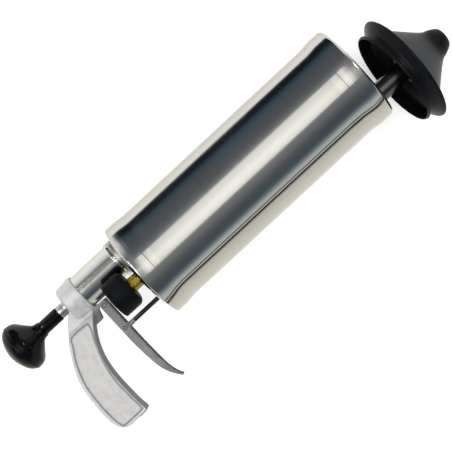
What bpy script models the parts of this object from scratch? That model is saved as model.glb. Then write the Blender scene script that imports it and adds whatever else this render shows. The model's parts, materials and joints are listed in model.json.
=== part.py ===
"""A hand-pumped compressed-air drain gun, lying on its side as it is put down on a bench.

+X runs forward along the air chamber to the rubber cone, -Y runs down the pistol grip and the trigger,
and +Z is the tool's right side. A pump is pushed in at the back to fill the chamber, and the trigger
pulls a rod that opens the outlet valve at the front. Every station along the tool is measured in
millimetres ahead of the chamber's rear rim, and every offset across it from the chamber's own axis.
"""

import math

import bmesh
import bpy

MM = 0.001
MERGE = 0.00001
GAP = 0.3

# Where the chamber's rear rim and axis stand, so that the whole tool is centred over the origin.
REAR_RIM_X = -107.3
CHAMBER_Y = 24.6
CHAMBER_Z = 56.25

# Air chamber: a rolled sheet with a wider band at each end. The rear band holds a cap that stands proud of
# its rim, and the front band one that lies inside it.
CHAMBER_LENGTH = 278.7
CHAMBER_RADIUS = 50.8
BAND_RADIUS = 52.2
REAR_BAND = 17.2
FRONT_BAND = 20.8
REAR_ROUND = 1.8
FRONT_ROUND = 4.0
RIM_INSIDE = 47.4
RIM_STEPS = 2
CHAMBER_STEPS = 44
STEP_LENGTH = 1.8
SHEET = 1.2
CAP_SHEET = 1.5
REAR_CAP_RISE = 3.2
REAR_FACE_RADIUS = 38.0
FRONT_CAP_RISE = -4.8
FRONT_FACE_RADIUS = 44.6

# Pump, on an axis above the chamber's.
PUMP_Y = 23.8
BARREL_RADIUS = 17.6
BARREL_BORE = 16.2
BARREL_REAR = -71.3
BARREL_FRONT = 172.0
PUMP_ROD_RADIUS = 5.0
PISTON_STATION = 150.0
KNOB_REAR = -148.7
KNOB_RADIUS = 25.1
SLEEVE_REAR = -107.2
SLEEVE_FRONT = -85.6
GLAND_REAR = -85.3
GLAND_RADIUS = 6.6

# Cast handle: a collar round the barrel, a curved grip and a lug for the trigger.
COLLAR_REAR = -75.0
COLLAR_FRONT = -55.3
COLLAR_RADIUS = 19.1
GRIP_THICKNESS = 22.0
NECK_THICKNESS = 12.0
PANEL_DEPTH = 0.8
LUG_THICKNESS = 9.0

# Trigger, a channel open to the front.
PIVOT_STATION = -47.4
PIVOT_RADIUS = 2.0
LEVER_DEPTH = 19.0
LEVER_WALL = 2.4
LINK_STATION = -47.0
LINK_RADIUS = 1.5

# Valve rod and outlet, on an axis below the chamber's.
OUTLET_Y = -29.5
ROD_RADIUS = 2.25
CLEVIS_RADIUS = 2.6
CLEVIS_FRONT = -37.2
TUBE_RADIUS = 10.0
TUBE_BORE = 8.6
TUBE_REAR = 262.0
TUBE_FRONT = 340.0
SPRING_REAR = 6.2
SPRING_FRONT = 29.6

# Pressure gauge, facing backwards beside the pump barrel.
GAUGE_Y = -4.0
GAUGE_Z = 26.9
GAUGE_REAR = -36.0
GAUGE_FRONT = -14.0
BOOT_RADIUS = 19.0
GAUGE_CASE_RADIUS = 16.6
HEX_ACROSS_FLATS = 13.2

# Rubber cone. It leans a little on its tube, about the centre of its flange.
FLANGE_STATION = 314.0
FLANGE_RADIUS = 56.8
CONE_LEAN = math.radians(7.8)
CONE_SWING = math.radians(2.6)
NOZZLE_LENGTH = 48.5
NOZZLE_BORE = 5.0

for old in list(bpy.data.objects):
    bpy.data.objects.remove(old, do_unlink=True)

tool = bpy.data.collections.new("compressed_air_drain_gun")
cutters = bpy.data.collections.new("cutters")
bpy.context.scene.collection.children.link(tool)
bpy.context.scene.collection.children.link(cutters)


# ---------------------------------------------------------------- materials


def material(name, colour, roughness, metallic):
    """A Principled material, made once for each name."""
    found = bpy.data.materials.get(name)
    if found:
        return found
    new = bpy.data.materials.new(name)
    new.use_nodes = True
    shader = new.node_tree.nodes["Principled BSDF"]
    shader.inputs["Base Color"].default_value = (*colour, 1.0)
    shader.inputs["Roughness"].default_value = roughness
    shader.inputs["Metallic"].default_value = metallic
    new.diffuse_color = (*colour, 1.0)
    return new


STAINLESS = material("polished_stainless", (0.72, 0.71, 0.68), 0.22, 1.0)
CHROME = material("chrome", (0.80, 0.80, 0.80), 0.08, 1.0)
STEEL = material("zinc_steel", (0.55, 0.55, 0.54), 0.35, 1.0)
DARK_STEEL = material("blackened_steel", (0.06, 0.055, 0.05), 0.35, 1.0)
SPRING_STEEL = material("spring_steel", (0.42, 0.42, 0.43), 0.3, 1.0)
CAST = material("cast_aluminium", (0.62, 0.61, 0.59), 0.5, 1.0)
LEVER_CAST = material("lever_aluminium", (0.42, 0.42, 0.43), 0.45, 1.0)
BRASS = material("brass", (0.72, 0.56, 0.18), 0.3, 1.0)
RUBBER = material("black_rubber", (0.02, 0.021, 0.024), 0.5, 0.0)
KNOB_PLASTIC = material("black_gloss_plastic", (0.008, 0.008, 0.012), 0.15, 0.0)
BOOT_RUBBER = material("boot_rubber", (0.012, 0.013, 0.016), 0.45, 0.0)
DIAL_PAINT = material("dial_paint", (0.85, 0.85, 0.82), 0.5, 0.0)
NEEDLE_PAINT = material("needle_paint", (0.05, 0.05, 0.05), 0.4, 0.0)
LENS = material("clear_lens", (0.9, 0.92, 0.93), 0.05, 0.0)


# ---------------------------------------------------------------- making shapes


def place(station, y=0.0, z=0.0):
    """A point in metres from a station and the offsets from the chamber's axis, all in millimetres."""
    return (
        (REAR_RIM_X + station) * MM,
        (CHAMBER_Y + y) * MM,
        (CHAMBER_Z + z) * MM,
    )


def link(thing, collection):
    """Puts an object in one collection only."""
    for old_home in list(thing.users_collection):
        old_home.objects.unlink(thing)
    collection.objects.link(thing)
    thing.hide_render = collection == cutters
    thing.display_type = "WIRE" if thing.hide_render else "TEXTURED"
    return thing


def finish(thing, look, collection=None):
    """Files an object, gives it its material and shades it smooth up to a sharp edge."""
    link(thing, collection or tool)
    thing.data.materials.clear()
    thing.data.materials.append(look)
    if thing.type == "MESH":
        thing.data.shade_smooth()
        thing.data.set_sharp_from_angle(angle=math.radians(35))
    return thing


def turned(name, profile, y=0.0, z=0.0, look=STEEL, steps=20, at=0.0, shell=0.0):
    """A shape turned about the tool's length. profile holds (station, radius) pairs from the front end,
    down the outside, to the rear end. A profile that starts and ends on the axis is solid, one given a
    shell thickness is a sheet, and any other closes on itself into a ring."""
    mesh = bpy.data.meshes.new(name)
    points = [(radius * MM, 0.0, station * MM) for station, radius in profile]
    edges = [(i, i + 1) for i in range(len(points) - 1)]
    solid = profile[0][1] == 0 and profile[-1][1] == 0
    if not solid and not shell:
        edges.append((len(points) - 1, 0))
    mesh.from_pydata(points, edges, [])
    thing = bpy.data.objects.new(name, mesh)
    thing.location = place(at, y, z)
    thing.rotation_euler = (0.0, math.pi / 2, 0.0)
    screw = thing.modifiers.new("turn", "SCREW")
    screw.axis = "Z"
    screw.steps = steps
    screw.render_steps = steps
    screw.use_merge_vertices = True
    screw.merge_threshold = MERGE
    if shell:
        wall = thing.modifiers.new("wall", "SOLIDIFY")
        wall.thickness = shell * MM
        wall.offset = -1.0
        wall.use_even_offset = True
    return finish(thing, look)


def ring(name, rear, front, outer, inner, **place_and_look):
    """A plain washer, tube or bush."""
    profile = [(front, inner), (front, outer), (rear, outer), (rear, inner)]
    return turned(name, profile, **place_and_look)


def rod(name, rear, front, radius, **place_and_look):
    """A plain round bar."""
    profile = [(front, 0.0), (front, radius), (rear, radius), (rear, 0.0)]
    return turned(name, profile, **place_and_look)


def hexagon(name, rear, front, across_flats, bore, y=0.0, z=0.0, look=STEEL):
    """A nut or a hexagonal body along the tool, with one flat facing +Z and a round bore."""
    radius = across_flats / 2 / math.cos(math.pi / 6)
    bpy.ops.mesh.primitive_cylinder_add(
        vertices=6,
        radius=radius * MM,
        depth=(front - rear) * MM,
        location=place((rear + front) / 2, y, z),
        rotation=(0.0, math.pi / 2, 0.0),
    )
    thing = bpy.context.object
    thing.name = name
    thing.data.name = name
    finish(thing, look)
    if bore:
        cut(thing, bar_along_x(name + "_bore", rear - 5, front + 5, bore, y, z))
    return thing


def bar_along_x(name, rear, front, radius, y=0.0, z=0.0, steps=24):
    """A cylinder along the tool that cuts a hole or joins a casting."""
    bpy.ops.mesh.primitive_cylinder_add(
        vertices=steps,
        radius=radius * MM,
        depth=(front - rear) * MM,
        location=place((rear + front) / 2, y, z),
        rotation=(0.0, math.pi / 2, 0.0),
    )
    thing = bpy.context.object
    thing.name = name
    return link(thing, cutters)


def bar_along_z(name, station, y, radius, half, steps=24, centre_z=0.0):
    """A cylinder across the tool, from side to side."""
    bpy.ops.mesh.primitive_cylinder_add(
        vertices=steps,
        radius=radius * MM,
        depth=2 * half * MM,
        location=place(station, y, centre_z),
    )
    thing = bpy.context.object
    thing.name = name
    return link(thing, cutters)


def block(name, stations, ys, zs):
    """A box between two stations, two heights and two sides."""
    bpy.ops.mesh.primitive_cube_add(
        size=1.0,
        location=place(sum(stations) / 2, sum(ys) / 2, sum(zs) / 2),
    )
    thing = bpy.context.object
    thing.name = name
    sides = (stations, ys, zs)
    thing.scale = [abs(side[1] - side[0]) * MM for side in sides]
    bpy.ops.object.transform_apply(location=False, rotation=False, scale=True)
    return link(thing, cutters)


def prism_along_x(name, rear, front, section):
    """A straight bar along the tool with corners at (y, z) points."""
    count = len(section)
    vertices = [place(station, y, z) for station in (rear, front) for y, z in section]
    faces = [tuple(range(count)), tuple(range(count, 2 * count))]
    faces += [(i, (i + 1) % count, count + (i + 1) % count, count + i) for i in range(count)]
    mesh = bpy.data.meshes.new(name)
    mesh.from_pydata(vertices, [], faces)
    work = bmesh.new()
    work.from_mesh(mesh)
    bmesh.ops.recalc_face_normals(work, faces=work.faces)
    work.to_mesh(mesh)
    work.free()
    return link(bpy.data.objects.new(name, mesh), cutters)


def plate(name, points, thickness, centre_z=0.0, smooth=False, resolution=3):
    """A flat outline of (station, y) points in the tool's middle plane, with a thickness across it."""
    outline = bpy.data.curves.new(name, "CURVE")
    outline.dimensions = "2D"
    outline.fill_mode = "BOTH"
    outline.extrude = thickness / 2 * MM
    outline.resolution_u = resolution
    outline.render_resolution_u = 0
    if smooth:
        spline = outline.splines.new("BEZIER")
        spline.bezier_points.add(len(points) - 1)
        for knot, (station, y) in zip(spline.bezier_points, points):
            knot.co = (station * MM, y * MM, 0.0)
            knot.handle_left_type = "AUTO"
            knot.handle_right_type = "AUTO"
    else:
        spline = outline.splines.new("POLY")
        spline.points.add(len(points) - 1)
        for knot, (station, y) in zip(spline.points, points):
            knot.co = (station * MM, y * MM, 0.0, 1.0)
    spline.use_cyclic_u = True
    guide = bpy.data.objects.new(name + "_outline", outline)
    guide.location = place(0.0, 0.0, centre_z)
    cutters.objects.link(guide)
    return meshed(guide, name)


def meshed(guide, name):
    """Turns a curve object into a mesh object in the same place, with its caps welded on."""
    bpy.context.view_layer.update()
    evaluated = guide.evaluated_get(bpy.context.evaluated_depsgraph_get())
    mesh = bpy.data.meshes.new_from_object(evaluated)
    work = bmesh.new()
    work.from_mesh(mesh)
    bmesh.ops.remove_doubles(work, verts=work.verts, dist=MERGE)
    bmesh.ops.recalc_face_normals(work, faces=work.faces)
    work.to_mesh(mesh)
    work.free()
    thing = bpy.data.objects.new(name, mesh)
    thing.matrix_world = guide.matrix_world.copy()
    bpy.data.objects.remove(guide, do_unlink=True)
    return link(thing, cutters)


def combine(thing, other, operation):
    """Cuts another object out of a thing, or joins it on."""
    boolean = thing.modifiers.new(other.name, "BOOLEAN")
    boolean.operation = operation
    boolean.solver = "EXACT"
    boolean.object = other


def cut(thing, *others):
    """Takes other objects out of a thing."""
    for other in others:
        combine(thing, other, "DIFFERENCE")


def join(thing, *others):
    """Joins other objects on to a thing."""
    for other in others:
        combine(thing, other, "UNION")


def coil(name, rear, front, radius, wire, turns, y, points_per_turn, look=SPRING_STEEL):
    """A compression spring along the tool, with a closed turn flattened at each end."""
    path = bpy.data.curves.new(name, "CURVE")
    path.dimensions = "3D"
    path.bevel_depth = wire / 2 * MM
    path.bevel_resolution = 2
    path.use_fill_caps = True
    path.render_resolution_u = 0
    count = round(turns * points_per_turn)
    spline = path.splines.new("POLY")
    spline.points.add(count)
    inner_rear = rear + wire / 2
    inner_front = front - wire / 2
    for i in range(count + 1):
        share = i / count
        turn = 2 * math.pi * turns * share
        along = inner_rear + (inner_front - inner_rear) * share
        spline.points[i].co = (
            along * MM,
            radius * math.cos(turn) * MM,
            radius * math.sin(turn) * MM,
            1.0,
        )
    guide = bpy.data.objects.new(name + "_path", path)
    guide.location = place(0.0, y)
    cutters.objects.link(guide)
    return finish(meshed(guide, name), look)


# ---------------------------------------------------------------- air chamber


def corner(inset, radius, round_radius):
    """A quarter round that ends at a distance inside the rim, as (distance inside the rim, radius)."""
    points = []
    for i in range(RIM_STEPS + 1):
        angle = math.pi / 2 * i / RIM_STEPS
        points.append(
            (
                inset + round_radius * (1 - math.sin(angle)),
                radius - round_radius * (1 - math.cos(angle)),
            )
        )
    return points


def band_profile(length, round_radius):
    """One end band's outside from the body to the rim's inner edge, as (distance inside the rim, radius)."""
    step = [(length + STEP_LENGTH, CHAMBER_RADIUS), (length, BAND_RADIUS)]
    return step + corner(0.0, BAND_RADIUS, round_radius) + [(0.0, RIM_INSIDE)]


def make_chamber():
    rear = band_profile(REAR_BAND, REAR_ROUND)
    front = [
        (CHAMBER_LENGTH - distance, radius)
        for distance, radius in reversed(band_profile(FRONT_BAND, FRONT_ROUND))
    ]
    turned("chamber_shell", front + rear, look=STAINLESS, steps=CHAMBER_STEPS, shell=SHEET)


def cap_profile(round_radius, rise, face_radius):
    """A pressed cap's outside from its skirt to its flat face, as (distance inside the rim, radius)."""
    inset = SHEET + GAP
    band_inside = BAND_RADIUS - inset
    skirt = [(11.0, band_inside)] + corner(inset, band_inside, max(round_radius - inset, 0.6))
    shoulder = 46.0 - 0.275 * (46.0 - face_radius)
    return skirt + [(inset, 46.0), (0.1 - rise / 2, shoulder), (-rise, face_radius), (-rise, 0.0)]


def make_caps():
    outline = cap_profile(FRONT_ROUND, FRONT_CAP_RISE, FRONT_FACE_RADIUS)
    front = [(CHAMBER_LENGTH - distance, radius) for distance, radius in reversed(outline)]
    front_cap = turned("front_cap", front, look=STAINLESS, steps=CHAMBER_STEPS, shell=CAP_SHEET)
    cut(front_cap, bar_along_x("outlet_hole", 265, 290, TUBE_RADIUS + GAP, OUTLET_Y))
    outline = cap_profile(REAR_ROUND, REAR_CAP_RISE, REAR_FACE_RADIUS)
    rear_cap = turned("rear_cap", outline, look=STAINLESS, steps=CHAMBER_STEPS, shell=CAP_SHEET)
    cut(
        rear_cap,
        bar_along_x("barrel_hole", -12, 12, BARREL_RADIUS + GAP, PUMP_Y, steps=32),
        bar_along_x("rod_hole", -12, 12, 4.5 + GAP, OUTLET_Y),
        bar_along_x("gauge_hole", -12, 12, 6.5 + GAP, GAUGE_Y, GAUGE_Z),
    )


# ---------------------------------------------------------------- pump


def make_barrel():
    on_pump = {"y": PUMP_Y}
    turned(
        "pump_barrel",
        [
            (BARREL_FRONT, BARREL_BORE),
            (BARREL_FRONT, BARREL_RADIUS),
            (BARREL_REAR, BARREL_RADIUS),
            (BARREL_REAR, BARREL_BORE),
        ],
        look=CHROME,
        steps=32,
        **on_pump,
    )
    ring("barrel_ring", -11.9, -7.6, 19.0, BARREL_RADIUS + GAP, look=CHROME, steps=32, **on_pump)
    ring("barrel_washer", -7.3, -3.6, 19.1, BARREL_RADIUS + GAP, look=DARK_STEEL, steps=32, **on_pump)
    ring("barrel_gasket", 1.0, 3.0, 19.0, BARREL_RADIUS + GAP, look=RUBBER, steps=32, **on_pump)
    hexagon("barrel_locknut", 3.4, 9.4, 38.4, BARREL_RADIUS + GAP, look=STEEL, **on_pump)


def make_check_valve():
    on_pump = {"y": PUMP_Y}
    ring("check_valve_seat", 172.3, 177.3, BARREL_RADIUS, 3.5, look=STEEL, steps=32, **on_pump)
    cage = turned(
        "check_valve_cage",
        [
            (191.0, 0.0),
            (191.0, 9.4),
            (190.4, 10.0),
            (178.6, 10.0),
            (178.6, 12.5),
            (177.6, 12.5),
            (177.6, 8.6),
            (189.6, 8.6),
            (189.6, 0.0),
        ],
        look=STEEL,
        **on_pump,
    )
    for i in range(2):
        window = block(
            f"cage_window_{i}",
            (180.5, 187.5),
            (PUMP_Y - (14.0 if i else 2.2), PUMP_Y + (14.0 if i else 2.2)),
            ((-2.2, 2.2) if i else (-14.0, 14.0)),
        )
        cut(cage, window)
    turned(
        "check_valve_disc",
        [
            (184.0, 0.0),
            (184.0, 1.6),
            (179.8, 1.6),
            (179.6, 6.6),
            (177.9, 7.0),
            (177.7, 6.4),
            (177.7, 0.0),
        ],
        look=RUBBER,
        steps=24,
        **on_pump,
    )
    coil("check_valve_spring", 180.1, 189.2, 3.4, 0.7, 3.5, PUMP_Y, 8)


def make_gland():
    turned(
        "pump_gland",
        [
            (-64.9, PUMP_ROD_RADIUS + GAP),
            (-64.9, BARREL_BORE - GAP),
            (-71.2, BARREL_BORE - GAP),
            (-71.2, GLAND_RADIUS),
            (GLAND_REAR, GLAND_RADIUS),
            (GLAND_REAR, PUMP_ROD_RADIUS + GAP),
        ],
        y=PUMP_Y,
        look=STEEL,
        steps=32,
    )
    ring("rod_bumper", -64.6, -60.0, 10.0, PUMP_ROD_RADIUS + GAP, y=PUMP_Y, look=RUBBER)


def make_plunger():
    """What slides with the knob: the rod, its sleeve and the piston."""
    on_pump = {"y": PUMP_Y}
    rod("pump_rod", -128.0, PISTON_STATION + 19.0, PUMP_ROD_RADIUS, look=CHROME, **on_pump)
    ring(
        "knob_sleeve",
        SLEEVE_REAR,
        SLEEVE_FRONT,
        7.0,
        PUMP_ROD_RADIUS + GAP,
        look=KNOB_PLASTIC,
        **on_pump,
    )
    bore = PUMP_ROD_RADIUS + GAP
    turned(
        "pump_knob",
        [
            (-128.4, 0.0),
            (-128.4, bore),
            (SLEEVE_REAR - GAP, bore),
            (SLEEVE_REAR - GAP, 8.1),
            (-112.9, 9.1),
            (-118.6, 14.8),
            (-124.4, 21.7),
            (-128.0, 24.2),
            (-132.0, KNOB_RADIUS),
            (-136.2, 24.6),
            (-141.2, 21.0),
            (-145.4, 14.0),
            (-147.9, 6.6),
            (KNOB_REAR, 0.0),
        ],
        look=KNOB_PLASTIC,
        steps=32,
        **on_pump,
    )
    at = PISTON_STATION
    ring("piston_back_washer", at, at + 3.0, 14.0, bore, look=STEEL, **on_pump)
    turned(
        "piston_cup",
        [
            (at + 9.0, BARREL_BORE - 1.9),
            (at + 9.0, BARREL_BORE - 0.35),
            (at + 3.3, BARREL_BORE - 1.6),
            (at + 3.3, bore),
            (at + 5.4, bore),
            (at + 5.4, BARREL_BORE - 3.2),
        ],
        look=RUBBER,
        steps=32,
        **on_pump,
    )
    ring("piston_front_washer", at + 5.8, at + 8.0, 11.5, bore, look=STEEL, **on_pump)
    hexagon("piston_nut", at + 8.4, at + 14.4, 17.0, bore, look=STEEL, **on_pump)


# ---------------------------------------------------------------- handle


GRIP_OUTLINE = [
    (-74.0, 20.0),
    (-79.8, 16.2),
    (-86.4, 9.8),
    (-97.4, -4.4),
    (-109.0, -23.4),
    (-116.4, -42.4),
    (-119.2, -66.0),
    (-119.2, -82.0),
    (-117.2, -92.0),
    (-112.4, -98.6),
    (-106.0, -100.9),
    (-97.0, -101.0),
    (-87.5, -101.0),
    (-84.2, -99.0),
    (-85.2, -88.0),
    (-85.7, -68.0),
    (-84.9, -51.0),
    (-82.2, -36.0),
    (-76.9, -22.2),
    (-69.3, -9.8),
    (-60.2, 1.8),
    (-56.2, 10.0),
    (-58.0, 20.0),
]
PANEL_OUTLINE = [
    (-91.4, -1.1),
    (-73.4, -1.1),
    (-70.6, -3.2),
    (-71.4, -8.2),
    (-78.3, -23.2),
    (-85.0, -42.2),
    (-88.0, -61.2),
    (-87.8, -80.1),
    (-87.1, -94.4),
    (-89.2, -97.4),
    (-110.2, -97.4),
    (-112.9, -95.4),
    (-114.9, -88.0),
    (-115.5, -76.0),
    (-115.0, -60.0),
    (-112.5, -42.2),
    (-105.4, -23.1),
    (-96.8, -9.0),
]
LUG_OUTLINE = [
    (-71.0, -8.6),
    (-58.6, -8.6),
    (-57.4, -7.4),
    (-55.0, 0.6),
    (-53.6, 1.6),
    (-51.3, 1.6),
    (-51.6, 0.0),
    (-51.0, -2.1),
    (-49.5, -3.6),
    (-47.4, -4.2),
    (-45.3, -3.6),
    (-43.8, -2.1),
    (-43.2, 0.0),
    (-43.8, 2.1),
    (-45.3, 3.6),
    (-47.4, 4.6),
    (-54.0, 5.4),
    (-56.5, 12.0),
    (-61.0, 12.0),
    (-71.0, 4.0),
]


def make_handle():
    casting = plate("handle_casting", GRIP_OUTLINE, GRIP_THICKNESS, smooth=True, resolution=2)
    collar = bar_along_x(
        "collar", COLLAR_REAR, COLLAR_FRONT, COLLAR_RADIUS, PUMP_Y, steps=36
    )
    lug = plate("trigger_lug", LUG_OUTLINE, LUG_THICKNESS)
    for side in (-1, 1):
        outer = side * (GRIP_THICKNESS / 2 + 1.0)
        neck = side * NECK_THICKNESS / 2
        section = [(-5.2, outer), (3.0, neck), (26.0, neck), (26.0, outer)]
        cut(casting, prism_along_x("neck_taper", -100.0, -40.0, section))
    join(casting, collar, lug)
    bore = bar_along_x(
        "collar_bore", BARREL_REAR - GAP, COLLAR_FRONT + 20, BARREL_RADIUS + GAP, PUMP_Y, steps=32
    )
    gland_hole = bar_along_x("gland_hole", -90, -60, GLAND_RADIUS + GAP, PUMP_Y, steps=24)
    pin_hole = bar_along_z("pivot_hole", PIVOT_STATION, 0.0, PIVOT_RADIUS + GAP, 20)
    screw_hole = bar_along_z(
        "set_screw_hole", -64.8, PUMP_Y, 2.0 + GAP, 6, centre_z=-COLLAR_RADIUS - 2
    )
    cut(casting, bore, gland_hole, pin_hole, screw_hole)
    for side in (-1, 1):
        panel = plate(
            "panel_recess",
            PANEL_OUTLINE,
            2 * PANEL_DEPTH,
            centre_z=side * GRIP_THICKNESS / 2,
            smooth=True,
            resolution=2,
        )
        cut(casting, panel)
    finish(casting, CAST)
    screw = bar_along_z("collar_set_screw", -64.8, PUMP_Y, 2.0, 1.0, 20, centre_z=-19.2)
    finish(screw, DARK_STEEL)


# ---------------------------------------------------------------- trigger and valve rod


LEVER_REAR_EDGE = [
    (-51.6, 3.0),
    (-51.6, -24.0),
    (-51.6, -42.4),
    (-50.9, -58.0),
    (-49.0, -75.8),
    (-46.2, -85.3),
    (-42.8, -92.0),
    (-37.4, -99.8),
]
LEVER_FRONT_EDGE = [
    (-36.6, -99.2),
    (-39.4, -94.4),
    (-41.8, -86.0),
    (-43.0, -74.0),
    (-43.5, -58.0),
    (-43.7, -42.0),
    (-43.6, -20.0),
    (-43.6, 3.0),
    (-45.0, 5.0),
    (-50.0, 5.0),
]


def make_trigger():
    outline = LEVER_REAR_EDGE + LEVER_FRONT_EDGE
    lever = plate("trigger_lever", outline, LEVER_DEPTH)
    inner_half = LEVER_DEPTH / 2 - LEVER_WALL
    channel_outline = [
        (station + LEVER_WALL, y) for station, y in LEVER_REAR_EDGE[1:5]
    ]
    channel_outline = (
        [(LEVER_REAR_EDGE[0][0] + LEVER_WALL, 20.0)]
        + channel_outline
        + [(-30.0, -70.0), (-30.0, 20.0)]
    )
    channel = plate("lever_channel", channel_outline, 2 * inner_half)
    fork = block("lever_fork", (-60, -40), (-12.5, 20), (-inner_half, inner_half))
    window = block("lever_window", (-60, -45), (-35.5, -23.5), (-4.6, 4.6))
    pivot_hole = bar_along_z("lever_pivot_hole", PIVOT_STATION, 0, PIVOT_RADIUS + GAP, 20)
    link_hole = bar_along_z("lever_link_hole", LINK_STATION, OUTLET_Y, LINK_RADIUS + GAP, 20)
    cut(lever, channel, fork, window, pivot_hole, link_hole)
    finish(lever, LEVER_CAST)
    for name, station, y, radius in (
        ("trigger_pivot_pin", PIVOT_STATION, 0.0, PIVOT_RADIUS),
        ("link_pin", LINK_STATION, OUTLET_Y, LINK_RADIUS),
    ):
        pin = bar_along_z(name, station, y, radius, LEVER_DEPTH / 2 + 0.2, 20)
        finish(pin, STEEL)


def make_rod():
    on_rod = {"y": OUTLET_Y}
    clevis = rod("rod_clevis", -49.5, CLEVIS_FRONT, CLEVIS_RADIUS, look=STEEL, **on_rod)
    eye = bar_along_z("clevis_eye", LINK_STATION, OUTLET_Y, 4.0, 3.4, 28)
    join(clevis, eye)
    cut(clevis, bar_along_z("clevis_hole", LINK_STATION, OUTLET_Y, 2.7, 10))
    rod("valve_rod", CLEVIS_FRONT + GAP, 267.0, ROD_RADIUS, look=DARK_STEEL, steps=20, **on_rod)
    turned(
        "rod_gland",
        [
            (5.8, ROD_RADIUS + GAP),
            (5.8, 4.5),
            (-3.4, 4.5),
            (-3.4, 7.0),
            (-4.6, 7.0),
            (-4.6, ROD_RADIUS + GAP),
        ],
        look=STEEL,
        **on_rod,
    )
    ring("gland_seal", -1.3, 0.7, 7.5, 4.5 + GAP, look=RUBBER, **on_rod)
    hexagon("gland_locknut", 1.0, 4.5, 13.0, 4.5 + GAP, look=STEEL, **on_rod)
    coil("valve_spring", SPRING_REAR, SPRING_FRONT, 4.0, 0.9, 5.0, OUTLET_Y, 8)
    ring("spring_collar", 30.0, 33.0, 6.0, ROD_RADIUS + GAP, look=STEEL, **on_rod)
    ring("valve_head", 253.6, 257.0, 12.5, ROD_RADIUS + GAP, look=STEEL, **on_rod)
    ring("valve_seal", 257.3, 261.6, 11.5, ROD_RADIUS + GAP, look=RUBBER, **on_rod)
    ring("valve_nut", 262.2, 265.4, 4.4, ROD_RADIUS + GAP, look=STEEL, **on_rod)


# ---------------------------------------------------------------- outlet and cone


def make_outlet():
    on_tube = {"y": OUTLET_Y}
    turned(
        "outlet_tube",
        [
            (TUBE_FRONT, TUBE_BORE),
            (TUBE_FRONT, TUBE_RADIUS),
            (TUBE_REAR, TUBE_RADIUS),
            (TUBE_REAR, TUBE_BORE),
        ],
        look=CHROME,
        steps=32,
        **on_tube,
    )
    hexagon("outlet_outer_nut", 274.2, 278.2, 25.0, TUBE_RADIUS + GAP, look=STEEL, **on_tube)
    ring("outlet_gasket", 269.9, 272.1, 13.2, TUBE_RADIUS + GAP, look=RUBBER, **on_tube)
    hexagon("outlet_inner_nut", 263.6, 269.6, 24.0, TUBE_RADIUS + GAP, look=STEEL, **on_tube)


CONE_OUTSIDE = [
    (NOZZLE_LENGTH, NOZZLE_BORE),
    (NOZZLE_LENGTH, 8.4),
    (45.8, 11.4),
    (40.0, 14.4),
    (31.2, 18.5),
    (8.4, 39.0),
    (4.2, 43.8),
    (2.1, 52.0),
    (0.9, 55.8),
    (-0.6, FLANGE_RADIUS),
    (-2.4, 55.4),
    (-6.0, 51.0),
    (-8.8, 48.9),
    (-11.2, 48.7),
    (-14.2, 49.9),
    (-16.0, 48.8),
]
CONE_INSIDE = [
    (-15.6, 47.0),
    (-10.0, 44.9),
    (-3.0, 46.2),
    (1.6, 42.0),
    (17.5, 23.0),
    (18.0, 17.0),
    (15.0, 14.6),
    (-2.0, 14.6),
    (-2.0, NOZZLE_BORE),
]


def make_cone():
    cone = turned(
        "rubber_cone",
        CONE_OUTSIDE + CONE_INSIDE,
        y=OUTLET_Y,
        look=RUBBER,
        steps=40,
        at=FLANGE_STATION,
    )
    cone.rotation_euler = (0.0, math.pi / 2 + CONE_LEAN, -CONE_SWING)
    socket = bar_along_x(
        "tube_socket", FLANGE_STATION - 12, TUBE_FRONT + GAP, TUBE_RADIUS + GAP, OUTLET_Y, steps=32
    )
    cut(cone, socket)


# ---------------------------------------------------------------- gauge


def make_gauge():
    on_gauge = {"y": GAUGE_Y, "z": GAUGE_Z}
    rear = GAUGE_REAR
    front = GAUGE_FRONT
    turned(
        "gauge_boot",
        [
            (front, 7.2),
            (front, 15.4),
            (front - 3.6, BOOT_RADIUS),
            (rear + 1.6, BOOT_RADIUS),
            (rear, BOOT_RADIUS - 1.6),
            (rear, 15.2),
            (rear + 1.5, 15.2),
            (rear + 1.5, GAUGE_CASE_RADIUS + GAP),
            (front - 2.0, GAUGE_CASE_RADIUS + GAP),
            (front - 2.0, 7.2),
        ],
        look=BOOT_RUBBER,
        steps=32,
        **on_gauge,
    )
    turned(
        "gauge_case",
        [
            (front - 2.3, 6.5),
            (front - 2.3, GAUGE_CASE_RADIUS),
            (rear + 4.6, GAUGE_CASE_RADIUS),
            (rear + 4.6, GAUGE_CASE_RADIUS - 0.8),
            (front - 3.3, GAUGE_CASE_RADIUS - 0.8),
            (front - 3.3, 6.5),
        ],
        look=DARK_STEEL,
        steps=32,
        **on_gauge,
    )
    ring("gauge_bezel", rear + 1.8, rear + 4.3, GAUGE_CASE_RADIUS, 14.2, look=CHROME, steps=32, **on_gauge)
    rod("gauge_lens", rear + 2.2, rear + 3.6, 13.8, look=LENS, steps=32, **on_gauge)
    ring("gauge_dial", rear + 7.4, rear + 8.2, 14.4, 1.3, look=DIAL_PAINT, steps=32, **on_gauge)
    make_needle(rear + 5.6)
    make_movement(rear)
    hex_body = hexagon(
        "gauge_fitting", front + GAP, -4.2, HEX_ACROSS_FLATS, 0.0, GAUGE_Y, GAUGE_Z, BRASS
    )
    stub = bar_along_x("fitting_stub", -21.0, 8.0, 6.2, GAUGE_Y, GAUGE_Z)
    port = bar_along_x("fitting_port", -19.0, 12.0, 1.6, GAUGE_Y, GAUGE_Z, steps=12)
    join(hex_body, stub)
    cut(hex_body, port)
    hexagon("gauge_locknut", 1.4, 5.4, 18.0, 6.5 + GAP, GAUGE_Y, GAUGE_Z, BRASS)


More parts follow.
